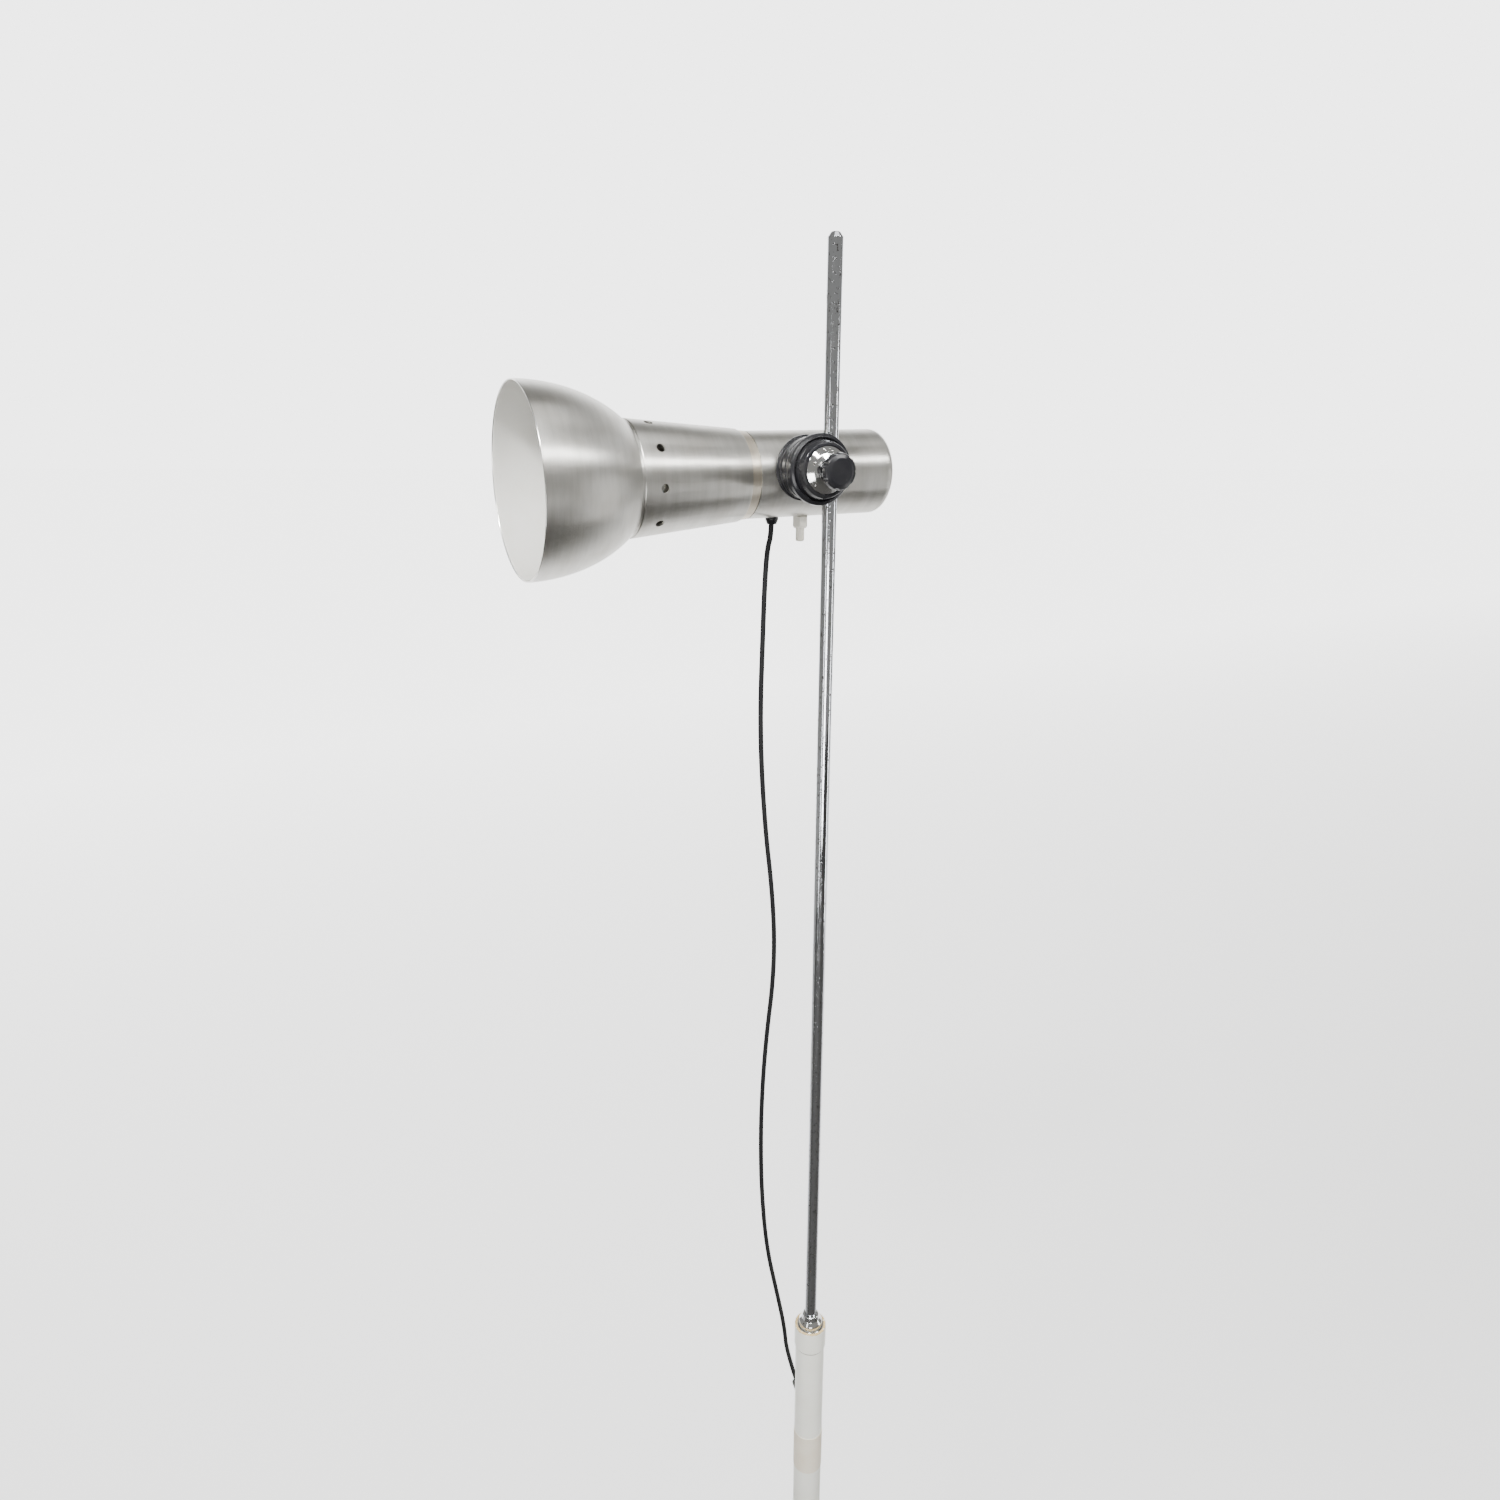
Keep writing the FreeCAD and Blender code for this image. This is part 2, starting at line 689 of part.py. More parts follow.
def block_post():
    """The bent strip from the bracket that carries the terminal block and the strain relief."""
    start = housing_front - 0.4
    grip_foot = housing_radius - 9.5
    strip = Part.makeBox(gland_station + 16 - start, 8, 2, V(start, head_offset - 4, head_z - post_drop - 2))
    corner = V(gland_station + 6, head_offset - 4, head_z - grip_foot)
    leg = Part.makeBox(2, 8, grip_foot - post_drop, corner)
    return strip.fuse(leg)


def holder_leads():
    """The two insulated leads from the terminal block to the lampholder."""
    leads = []
    back = holder_back
    for side in (-4, 4):
        start = V(gland_station + 2, head_offset + side, head_z - post_drop + 5)
        points = [start, V(start.x - 10, start.y, start.z),
                  V(start.x - 20, head_offset + side * 2.5, head_z + 16),
                  V(back + 0.7, head_offset + side * 1.5, head_z + 9)]
        leads.append(tube_along(points, 1.1))
    return Part.makeCompound(leads)


# Cord

def arc_radius(a, b, c):
    run = min((b - a).Length, (c - b).Length)
    turn = math.acos(max(-1, min(1, (b - a).normalize().dot((c - b).normalize()))))
    return 0.45 * run / math.tan(turn / 2)


def tube_along(points, radius):
    """A plain tube along straight runs joined by tangent arcs."""
    radii = [0]
    for a, b, c in zip(points, points[1:], points[2:]):
        radii.append(arc_radius(V(a), V(b), V(c)))
    radii.append(0)
    wire = rounded(points, radii, closed=False)
    ring = Part.Wire(Part.makeCircle(radius, points[0], points[1] - points[0]))
    tube = wire.makePipeShell([ring], True, False)
    ideal = math.pi * radius ** 2 * wire.Length
    print("tube: length %.0f, tightest %.1f, volume share %.4f"
          % (wire.Length, min([r for r in radii if r] or [0]), tube.Volume / ideal))
    return tube


def cord_pieces():
    """The cord in four lengths, parted in the middle of straight runs."""
    points = [V(*p) for p in cord_route]
    end, way = entry_frame()
    points.insert(0, points[0] + V(0, 0, 8 + gland_drop + 14))
    points[-1] = end + way * 5.5
    names = ["cord_lead", "cord_upper", "cord_middle", "cord_lower"]
    pieces = {}
    start = 0
    first = [points[0]]
    for name, cut in zip(names, cord_cuts + [None]):
        if cut is None:
            pieces[name] = tube_along(first + points[start + 1:], cord_radius)
        else:
            middle = (points[cut] + points[cut + 1]) / 2
            pieces[name] = tube_along(first + points[start + 1:cut + 1] + [middle], cord_radius)
            start = cut
            first = [middle]
    return pieces


# Points that the cord follows, from the head's gland down to the hole in the tube.
cord_route = [
    (-24.2, 52.0, 2230.8),
    (-27.8, 53.2, 2218.3),
    (-30.1, 53.4, 2183.9),
    (-31.7, 53.1, 2140.9),
    (-34.0, 52.6, 2082.3),
    (-33.7, 51.1, 2027.9),
    (-30.6, 47.9, 1962.8),
    (-26.0, 44.3, 1911.2),
    (-23.7, 41.8, 1856.9),
    (-25.5, 41.6, 1807.2),
    (-30.5, 43.1, 1758.1),
    (-34.4, 43.9, 1704.2),
    (-36.7, 43.8, 1643.8),
    (-36.4, 42.2, 1571.5),
    (-32.0, 38.6, 1499.8),
    (-22.7, 32.9, 1442.6),
    (-15.3, 28.2, 1395.7),
    (-13.1, 26.5, 1360.0),
    (-5.1, 13.4, 1320.8),
]
cord_cuts = [6, 9, 14]


def main():
    os.makedirs("parts", exist_ok=True)
    shapes = {
        "floor_pad": floor_pad(),
        "foot_plunger": foot_plunger(),
        "lower_guide": lower_guide(),
        "tension_spring": tension_spring(),
        "spring_stop": spring_stop(),
        "stop_rivet": stop_rivet(),
        "pole_tube": pole_tube(),
        "pole_collar": pole_collar(),
        "rod_bushing": rod_bushing(),
        "pole_sleeve": pole_sleeve(),
        "rod_stop_ring": rod_stop_ring(),
        "tube_grommet": tube_grommet(),
        "chrome_rod": chrome_rod(),
        "rod_cap": rod_cap(),
        "rod_guide": rod_guide(),
        "rod_liner": rod_liner(),
        "clamp_back_half": clamp_back_half(),
        "clamp_front_half": clamp_front_half(),
        "trim_ring": trim_ring(),
        "pressure_ring": pressure_ring(),
        "dome_washer": dome_washer(),
        "knob_grip": knob_grip(),
        "knob_insert": knob_insert(),
        "swivel_disc": swivel_disc(),
        "friction_washer": friction_washer(),
        "clamp_stud": clamp_stud(),
        "stud_washer": stud_washer(),
        "stud_nut": stud_nut(),
        "housing": housing(),
        "band_ring": band_ring(),
        "cone": cone(),
        "bell": bell(),
        "holder_shell": holder_shell(),
        "holder_contact": holder_contact(),
        "holder_nipple": holder_nipple(),
        "holder_bracket": holder_bracket(),
        "nipple_nut": nipple_nut(),
        "bulb_cap": bulb_cap(),
        "bulb_glass": bulb_glass(),
        "switch_nut": switch_nut(),
        "switch_body": switch_body(),
        "switch_button": switch_button(),
        "head_gland": head_gland(),
        "cord_grip": cord_grip(),
        "terminal_block": terminal_block(),
        "terminal_screws": terminal_screws(),
        "block_post": block_post(),
        "holder_leads": holder_leads(),
    }
    shapes.update(cord_pieces())
    for name, shape in shapes.items():
        if not shape.isValid() or not shape.Solids:
            print("BAD", name, shape.ShapeType, len(shape.Solids))
        shape.exportStep("parts/%s.step" % name)


main()
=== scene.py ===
import math
import bmesh
import bpy
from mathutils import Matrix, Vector


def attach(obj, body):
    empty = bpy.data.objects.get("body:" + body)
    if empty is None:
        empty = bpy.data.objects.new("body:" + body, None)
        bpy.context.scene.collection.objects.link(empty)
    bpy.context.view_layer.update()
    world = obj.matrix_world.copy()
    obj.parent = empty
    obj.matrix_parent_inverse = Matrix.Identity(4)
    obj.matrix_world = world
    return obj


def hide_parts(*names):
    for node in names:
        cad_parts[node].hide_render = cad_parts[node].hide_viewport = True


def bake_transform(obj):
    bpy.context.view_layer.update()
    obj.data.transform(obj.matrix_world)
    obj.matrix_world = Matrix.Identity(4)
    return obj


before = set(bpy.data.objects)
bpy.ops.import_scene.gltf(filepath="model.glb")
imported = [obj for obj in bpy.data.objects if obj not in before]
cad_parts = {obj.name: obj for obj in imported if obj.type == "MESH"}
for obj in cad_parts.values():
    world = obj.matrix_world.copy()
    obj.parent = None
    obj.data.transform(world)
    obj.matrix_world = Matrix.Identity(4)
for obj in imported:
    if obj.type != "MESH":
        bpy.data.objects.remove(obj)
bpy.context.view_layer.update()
mm = 0.001

# camera, fitted to the rod and the head in the photo
view = {"place": (-0.4439, -0.7329, 2.3353), "turn": 26.97, "down": 18.34, "lens": 25.18, "film": 36}


def makeCamera():
    data = bpy.data.cameras.new("photoCamera")
    data.lens = view["lens"]
    data.sensor_width = view["film"]
    data.clip_start = 0.02
    camera = bpy.data.objects.new("photoCamera", data)
    bpy.context.collection.objects.link(camera)
    turn, down = math.radians(view["turn"]), math.radians(view["down"])
    ahead = Vector((math.sin(turn) * math.cos(down), math.cos(turn) * math.cos(down), -math.sin(down)))
    camera.location = view["place"]
    camera.rotation_euler = ahead.to_track_quat("-Z", "Y").to_euler()
    bpy.context.scene.camera = camera


makeCamera()
print("camera placed")

# node helpers


def addNode(tree, kind, at=(0, 0), **settings):
    made = tree.nodes.new(kind)
    made.location = at
    for key, value in settings.items():
        setattr(made, key, value)
    return made


def fill(made, **values):
    for key, value in values.items():
        name = key.replace("_", " ")
        made.inputs[name].default_value = value


def newGroup(name, inputs, outputs):
    tree = bpy.data.node_groups.new(name, "ShaderNodeTree")
    for label, kind, value in inputs:
        socket = tree.interface.new_socket(label, in_out="INPUT", socket_type=kind)
        if value is not None:
            socket.default_value = value
    for label, kind in outputs:
        tree.interface.new_socket(label, in_out="OUTPUT", socket_type=kind)
    return tree, addNode(tree, "NodeGroupInput", (-900, 0)), addNode(tree, "NodeGroupOutput", (700, 0))


grainLook = {"density": 520.0, "around": 9, "drift": 26.0, "streaks": (160, 22, 22)}


def makeGrain():
    # fine turning marks round the X axis, with a slow drift over the surface
    tree, source, out = newGroup(
        "turningMarks",
        [("Vector", "NodeSocketVector", None), ("Density", "NodeSocketFloat", grainLook["density"])],
        [("Marks", "NodeSocketFloat"), ("Drift", "NodeSocketFloat"), ("Streaks", "NodeSocketFloat")])
    parts = addNode(tree, "ShaderNodeSeparateXYZ", (-700, 100))
    times = addNode(tree, "ShaderNodeMath", (-520, 160), operation="MULTIPLY")
    joined = addNode(tree, "ShaderNodeCombineXYZ", (-340, 100))
    soft = addNode(tree, "ShaderNodeVectorMath", (-520, -60), operation="SCALE")
    soft.inputs["Scale"].default_value = grainLook["around"]
    softParts = addNode(tree, "ShaderNodeSeparateXYZ", (-360, -80))
    marks = addNode(tree, "ShaderNodeTexNoise", (-150, 160))
    fill(marks, Scale=1.0, Detail=2.0, Roughness=0.6)
    drift = addNode(tree, "ShaderNodeTexNoise", (-150, -80))
    fill(drift, Scale=grainLook["drift"], Detail=2.0, Roughness=0.5)
    wide = addNode(tree, "ShaderNodeVectorMath", (-340, -300), operation="MULTIPLY")
    wide.inputs[1].default_value = grainLook["streaks"]
    streaks = addNode(tree, "ShaderNodeTexNoise", (-150, -320))
    fill(streaks, Scale=1.0, Detail=3.0, Roughness=0.6)
    link = tree.links.new
    link(source.outputs["Vector"], parts.inputs[0])
    link(parts.outputs["X"], times.inputs[0])
    link(source.outputs["Density"], times.inputs[1])
    link(source.outputs["Vector"], soft.inputs[0])
    link(soft.outputs[0], softParts.inputs[0])
    link(times.outputs[0], joined.inputs["X"])
    link(softParts.outputs["Y"], joined.inputs["Y"])
    link(softParts.outputs["Z"], joined.inputs["Z"])
    link(joined.outputs[0], marks.inputs["Vector"])
    link(source.outputs["Vector"], drift.inputs["Vector"])
    link(source.outputs["Vector"], wide.inputs[0])
    link(wide.outputs[0], streaks.inputs["Vector"])
    link(marks.outputs[0], out.inputs["Marks"])
    link(drift.outputs[0], out.inputs["Drift"])
    link(streaks.outputs[0], out.inputs["Streaks"])
    return tree


wearLook = {"pitsLow": (-0.22, 0.74), "pitEdge": 0.05, "blotch": 38.0, "blotchRange": (0.45, 0.72),
            "scratches": (70, 420, 240), "scratchRange": (0.66, 0.7)}


def makeWear():
    # small pits, blotches and hairline scratches as masks
    tree, source, out = newGroup(
        "surfaceWear",
        [("Vector", "NodeSocketVector", None), ("Pits", "NodeSocketFloat", 0.5),
         ("Size", "NodeSocketFloat", 300.0)],
        [("Pits", "NodeSocketFloat"), ("Blotch", "NodeSocketFloat"), ("Scratches", "NodeSocketFloat")])
    pits = addNode(tree, "ShaderNodeTexNoise", (-500, 200))
    fill(pits, Detail=3.0, Roughness=0.65)
    edge = addNode(tree, "ShaderNodeMapRange", (-300, 200))
    high = addNode(tree, "ShaderNodeMath", (-500, 0), operation="MULTIPLY_ADD")
    high.inputs[1].default_value, high.inputs[2].default_value = wearLook["pitsLow"]
    top = addNode(tree, "ShaderNodeMath", (-400, -60), operation="ADD")
    top.inputs[1].default_value = wearLook["pitEdge"]
    blotch = addNode(tree, "ShaderNodeTexNoise", (-500, -200))
    fill(blotch, Scale=wearLook["blotch"], Detail=4.0, Roughness=0.5, Distortion=0.2)
    spread = addNode(tree, "ShaderNodeMapRange", (-300, -200))
    fill(spread, From_Min=wearLook["blotchRange"][0], From_Max=wearLook["blotchRange"][1])
    long = addNode(tree, "ShaderNodeVectorMath", (-700, -400), operation="MULTIPLY")
    long.inputs[1].default_value = wearLook["scratches"]
    lines = addNode(tree, "ShaderNodeTexNoise", (-500, -400))
    fill(lines, Scale=1.0, Detail=2.0, Distortion=2.5)
    thin = addNode(tree, "ShaderNodeMapRange", (-300, -400))
    fill(thin, From_Min=wearLook["scratchRange"][0], From_Max=wearLook["scratchRange"][1])
    link = tree.links.new
    link(source.outputs["Vector"], pits.inputs["Vector"])
    link(source.outputs["Size"], pits.inputs["Scale"])
    link(source.outputs["Pits"], high.inputs[0])
    link(high.outputs[0], top.inputs[0])
    link(pits.outputs[0], edge.inputs["Value"])
    link(high.outputs[0], edge.inputs["From Min"])
    link(top.outputs[0], edge.inputs["From Max"])
    link(source.outputs["Vector"], blotch.inputs["Vector"])
    link(blotch.outputs[0], spread.inputs["Value"])
    link(source.outputs["Vector"], long.inputs[0])
    link(long.outputs[0], lines.inputs["Vector"])
    link(lines.outputs[0], thin.inputs["Value"])
    link(edge.outputs[0], out.inputs["Pits"])
    link(spread.outputs[0], out.inputs["Blotch"])
    link(thin.outputs[0], out.inputs["Scratches"])
    return tree


grain = makeGrain()
wear = makeWear()


def startMaterial(name):
    material = bpy.data.materials.new(name)
    material.use_nodes = True
    tree = material.node_tree
    shader = tree.nodes["Principled BSDF"]
    place = addNode(tree, "ShaderNodeTexCoord", (-1300, 0))
    return material, tree, shader, place.outputs["Object"]


def useGroup(tree, group, place, at, **values):
    made = addNode(tree, "ShaderNodeGroup", at)
    made.node_tree = group
    fill(made, **values)
    tree.links.new(place, made.inputs["Vector"])
    return made


def mixColour(tree, mask, first, second, at, strength=1.0):
    scaled = addNode(tree, "ShaderNodeMath", (at[0] - 180, at[1]), operation="MULTIPLY", use_clamp=True)
    scaled.inputs[1].default_value = strength
    tree.links.new(mask, scaled.inputs[0])
    mix = addNode(tree, "ShaderNodeMix", at, data_type="RGBA")
    tree.links.new(scaled.outputs[0], mix.inputs[0])
    for index, colour in ((6, first), (7, second)):
        if isinstance(colour, tuple):
            mix.inputs[index].default_value = (*colour, 1)
        else:
            tree.links.new(colour, mix.inputs[index])
    return mix.outputs[2]


def mixValue(tree, mask, low, high, at):
    spread = addNode(tree, "ShaderNodeMapRange", at)
    fill(spread, To_Min=low, To_Max=high)
    tree.links.new(mask, spread.inputs["Value"])
    return spread.outputs[0]


def bump(tree, height, strength, distance, shader, at=(-250, -350)):
    made = addNode(tree, "ShaderNodeBump", at)
    fill(made, Strength=strength, Distance=distance)
    tree.links.new(height, made.inputs["Height"])
    tree.links.new(made.outputs[0], shader.inputs["Normal"])


# the finishes, each kind a function and each finish a line of the dictionary below


def spunMetal(name, light, dark, stain, rough=(0.3, 0.42)):
    material, tree, shader, place = startMaterial(name)
    marks = useGroup(tree, grain, place, (-1050, 100))
    old = useGroup(tree, wear, place, (-1050, -250), Pits=0.1, Size=420.0)
    colour = mixColour(tree, marks.outputs["Streaks"], dark, light, (-600, 200), 1.5)
    colour = mixColour(tree, marks.outputs["Marks"], colour, light, (-420, 200), 0.7)
    colour = mixColour(tree, old.outputs["Blotch"], colour, stain, (-240, 200), 0.22)
    tree.links.new(colour, shader.inputs["Base Color"])
    dull = mixValue(tree, marks.outputs["Drift"], rough[0], rough[1], (-300, 0))
    tree.links.new(dull, shader.inputs["Roughness"])
    tangent = addNode(tree, "ShaderNodeTangent", (-300, -200), direction_type="RADIAL", axis="X")
    tree.links.new(tangent.outputs[0], shader.inputs["Tangent"])
    fill(shader, Metallic=1.0, Anisotropic=0.7, Anisotropic_Rotation=0.25)
    bump(tree, marks.outputs["Marks"], 0.09, 0.0003, shader)
    return material


def agedChrome(name, base, pits, pitColour, size=320.0, rough=(0.07, 0.2)):
    material, tree, shader, place = startMaterial(name)
    old = useGroup(tree, wear, place, (-1000, 0), Pits=pits, Size=size)
    worn = (base[0] * 0.8, base[1] * 0.78, base[2] * 0.75)
    colour = mixColour(tree, old.outputs["Blotch"], base, worn, (-500, 200), 0.6)
    colour = mixColour(tree, old.outputs["Pits"], colour, pitColour, (-250, 200), 0.85)
    tree.links.new(colour, shader.inputs["Base Color"])
    dull = mixValue(tree, old.outputs["Blotch"], rough[0], rough[1], (-300, 0))
    tree.links.new(dull, shader.inputs["Roughness"])
    fill(shader, Metallic=1.0)
    bump(tree, old.outputs["Pits"], 0.2, 0.0002, shader)
    return material


def satinCoat(name, base, dirt, rough=(0.35, 0.5), dirtAmount=0.4, pits=0.15, size=200.0, shine=0.5):
    material, tree, shader, place = startMaterial(name)
    old = useGroup(tree, wear, place, (-1000, 0), Pits=pits, Size=size)
    colour = mixColour(tree, old.outputs["Blotch"], base, dirt, (-500, 200), dirtAmount)
    colour = mixColour(tree, old.outputs["Pits"], colour, dirt, (-250, 200), 0.8)
    tree.links.new(colour, shader.inputs["Base Color"])
    dull = mixValue(tree, old.outputs["Blotch"], rough[0], rough[1], (-300, 0))
    tree.links.new(dull, shader.inputs["Roughness"])
    shader.inputs["Specular IOR Level"].default_value = shine
    bump(tree, old.outputs["Scratches"], 0.08, 0.0002, shader)
    return material


collarPaint = {"rim": 1.42, "chipped": (0.0022, 0.0002), "chipSize": 330.0, "chipRange": (0.34, 0.42),
               "seam": 0.027, "seamHalf": 0.0011, "yellowed": (0.8, 0.79, 0.69),
               "seamPaintedShade": (0.2, 0.17, 0.12)}


def chippedPaint(name, base, under):
    # off-white paint that has chipped away round the collar's rim, with a painted shade line in the groove
    # below it
    material, tree, shader, place = startMaterial(name)
    old = useGroup(tree, wear, place, (-1000, 0), Pits=0.1, Size=160.0)
    parts = addNode(tree, "ShaderNodeSeparateXYZ", (-1000, -300))
    tree.links.new(place, parts.inputs[0])
    near = addNode(tree, "ShaderNodeMapRange", (-800, -300))
    lowChip, highChip = collarPaint["chipped"]
    fill(near, From_Min=collarPaint["rim"] - lowChip, From_Max=collarPaint["rim"] - highChip)
    tree.links.new(parts.outputs["Z"], near.inputs["Value"])
    rough = addNode(tree, "ShaderNodeTexNoise", (-800, -500))
    fill(rough, Scale=collarPaint["chipSize"], Detail=4.0)
    tree.links.new(place, rough.inputs["Vector"])
    both = addNode(tree, "ShaderNodeMath", (-600, -400), operation="MULTIPLY")
    tree.links.new(near.outputs[0], both.inputs[0])
    tree.links.new(rough.outputs[0], both.inputs[1])
    chips = addNode(tree, "ShaderNodeMapRange", (-430, -400))
    fill(chips, From_Min=collarPaint["chipRange"][0], From_Max=collarPaint["chipRange"][1])
    tree.links.new(both.outputs[0], chips.inputs["Value"])
    colour = mixColour(tree, old.outputs["Blotch"], base, collarPaint["yellowed"], (-500, 200), 0.35)
    colour = mixColour(tree, chips.outputs[0], colour, under, (-250, 200), 1.0)
    # painted shade: a thin dark line at the groove below the rim, where shade falls
    seam = addNode(tree, "ShaderNodeMath", (-430, -650), operation="COMPARE")
    seam.inputs[1].default_value = collarPaint["rim"] - collarPaint["seam"]
    seam.inputs[2].default_value = collarPaint["seamHalf"]
    tree.links.new(parts.outputs["Z"], seam.inputs[0])
    colour = mixColour(tree, seam.outputs[0], colour, collarPaint["seamPaintedShade"], (-100, 350), 0.85)
    tree.links.new(colour, shader.inputs["Base Color"])
    tree.links.new(mixValue(tree, chips.outputs[0], 0.33, 0.6, (-300, 0)), shader.inputs["Roughness"])
    bump(tree, chips.outputs[0], 0.5, 0.0003, shader)
    return material


def clearGlass(name, base, dirt):
    material, tree, shader, place = startMaterial(name)
    old = useGroup(tree, wear, place, (-1000, 0), Pits=0.1, Size=120.0)
    colour = mixColour(tree, old.outputs["Blotch"], base, dirt, (-400, 200), 0.5)
    tree.links.new(colour, shader.inputs["Base Color"])
    tree.links.new(mixValue(tree, old.outputs["Blotch"], 0.08, 0.2, (-300, 0)), shader.inputs["Roughness"])
    shader.inputs["Transmission Weight"].default_value = 0.95
    return material


materials = {
    "spun": spunMetal("spunAluminium", light=(0.52, 0.512, 0.482), dark=(0.31, 0.302, 0.28),
                      stain=(0.26, 0.22, 0.17)),
    "band": spunMetal("champagneBand", light=(0.62, 0.57, 0.48), dark=(0.42, 0.37, 0.29),
                      stain=(0.3, 0.22, 0.14), rough=(0.3, 0.45)),
    "rimEdge": spunMetal("cutEdge", light=(0.8, 0.79, 0.76), dark=(0.62, 0.6, 0.57),
                         stain=(0.6, 0.58, 0.5), rough=(0.2, 0.3)),
    "rod": agedChrome("agedRod", base=(0.68, 0.7, 0.74), pits=0.62, pitColour=(0.1, 0.085, 0.075),
                      size=430.0),
    "chrome": agedChrome("brightChrome", base=(0.8, 0.81, 0.82), pits=0.45, pitColour=(0.3, 0.24, 0.16),
                         size=420.0, rough=(0.05, 0.14)),
    "steel": agedChrome("platedSteel", base=(0.5, 0.5, 0.5), pits=0.3, pitColour=(0.25, 0.2, 0.15),
                        size=260.0, rough=(0.25, 0.4)),
    "brass": agedChrome("plainBrass", base=(0.68, 0.5, 0.22), pits=0.2, pitColour=(0.25, 0.17, 0.08),
                        size=260.0, rough=(0.2, 0.35)),
    "enamel": satinCoat("whiteEnamel", base=(0.66, 0.65, 0.61), dirt=(0.56, 0.54, 0.48), rough=(0.5, 0.65),
                        dirtAmount=0.35, pits=0.05),
    "black": satinCoat("blackPlastic", base=(0.012, 0.012, 0.014), dirt=(0.03, 0.03, 0.028),
                       rough=(0.2, 0.36), pits=0.1, size=260.0, shine=0.28),
    "cream": satinCoat("creamPlastic", base=(0.88, 0.85, 0.76), dirt=(0.52, 0.44, 0.3),
                       dirtAmount=0.35, pits=0.2),
    "sleeve": satinCoat("creamSleeve", base=(0.82, 0.76, 0.64), dirt=(0.7, 0.6, 0.45), rough=(0.5, 0.65),
                        dirtAmount=0.5, pits=0.1),
    "paint": chippedPaint("agedPaint", base=(0.9, 0.9, 0.83), under=(0.62, 0.46, 0.22)),
    "cord": satinCoat("cordSheath", base=(0.01, 0.01, 0.011), dirt=(0.02, 0.02, 0.02), rough=(0.5, 0.65),
                      dirtAmount=0.5, pits=0.1, shine=0.15),
    "rubber": satinCoat("blackRubber", base=(0.015, 0.015, 0.015), dirt=(0.06, 0.055, 0.05), rough=(0.6, 0.8),
                        dirtAmount=0.5, pits=0.2),
    "nylon": satinCoat("paleNylon", base=(0.76, 0.74, 0.68), dirt=(0.6, 0.56, 0.48), rough=(0.4, 0.55),
                       dirtAmount=0.3, pits=0.05),
    "fibre": satinCoat("redFibre", base=(0.2, 0.07, 0.04), dirt=(0.1, 0.04, 0.03), rough=(0.5, 0.7),
                       dirtAmount=0.5, pits=0.1),
    "glass": clearGlass("bulbGlass", base=(0.62, 0.62, 0.6), dirt=(0.5, 0.49, 0.46)),
}
print("materials made")

# cord: four lengths, each listed with the two bodies that it joins
cordRoute = [
    (-0.0242, 0.0520, 2.2583),
    (-0.0242, 0.0520, 2.2308),
    (-0.0278, 0.0532, 2.2183),
    (-0.0301, 0.0534, 2.1839),
    (-0.0317, 0.0531, 2.1409),
    (-0.0340, 0.0526, 2.0823),
    (-0.0337, 0.0511, 2.0279),
    (-0.0306, 0.0479, 1.9628),
    (-0.0260, 0.0443, 1.9112),
    (-0.0237, 0.0418, 1.8569),
    (-0.0255, 0.0416, 1.8072),
    (-0.0305, 0.0431, 1.7581),
    (-0.0344, 0.0439, 1.7042),
    (-0.0367, 0.0438, 1.6438),
    (-0.0364, 0.0422, 1.5715),
    (-0.0320, 0.0386, 1.4998),
    (-0.0227, 0.0329, 1.4426),
    (-0.0153, 0.0282, 1.3957),
    (-0.0131, 0.0265, 1.3600),
    (-0.0041, 0.0117, 1.3157),
]
cord = {"diameter": 0.0045, "cuts": [6, 9, 14],
        "names": ["cord_lead", "cord_upper", "cord_middle", "cord_lower"],
        "bodies": [("clamp", "head"), ("carrier", "clamp"), ("rod", "carrier"), ("pole", "rod")]}


def cordLengths():
    # a cut lies halfway between two points of the route and ends one length where the next begins
    route = [Vector(point) for point in cordRoute]
    lengths, length = [], route[:1]
    for k, point in enumerate(route[1:], 1):
        length.append(point)
        if k in cord["cuts"]:
            middle = (point + route[k + 1]) / 2
            lengths.append(length + [middle])
            length = [middle]
    return lengths + [length]


def cordCurve(name, points, depth):
    data = bpy.data.curves.new(name, "CURVE")
    data.dimensions = "3D"
    spline = data.splines.new("NURBS")
    spline.points.add(len(points) - 1)
    for target, point in zip(spline.points, points):
        target.co = (*point, 1)
    spline.order_u = 3
    spline.use_endpoint_u = True
    spline.resolution_u = 8
    data.bevel_depth = depth
    data.bevel_resolution = 4
    data.use_fill_caps = True
    return bpy.data.objects.new(name, data)


def makeTube(name, points, diameter, material):
    drawn = cordCurve(name + "Curve", points, diameter / 2)
    mesh = bpy.data.meshes.new_from_object(drawn)
    bpy.data.objects.remove(drawn)
    made = bpy.data.objects.new(name, mesh)
    bpy.context.collection.objects.link(made)
    mesh.materials.clear()
    mesh.materials.append(material)
    mesh.shade_smooth()
    return made


def makeCord(name, points):
    bare = cordCurve(name + "Line", points, 0)
    line = [v.co.copy() for v in bpy.data.meshes.new_from_object(bare).vertices]
    bpy.data.objects.remove(bare)
    made = makeTube(name + "Sheath", points, cord["diameter"], materials["cord"])
    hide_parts(name)
    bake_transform(made)
    length = sum((b - a).length for a, b in zip(line, line[1:]))
    return length


cordTotal = 0
for name, points, bodies in zip(cord["names"], cordLengths(), cord["bodies"]):
    cordTotal += makeCord(name, points)
print("cord made, %.3f m" % cordTotal)

# spring in the foot, squeezed between the plunger and the stop, in mm
spring = {"radius": 9.9, "wire": 2.2, "turns": 9, "low": 97.1, "high": 184.9, "steps": 18}


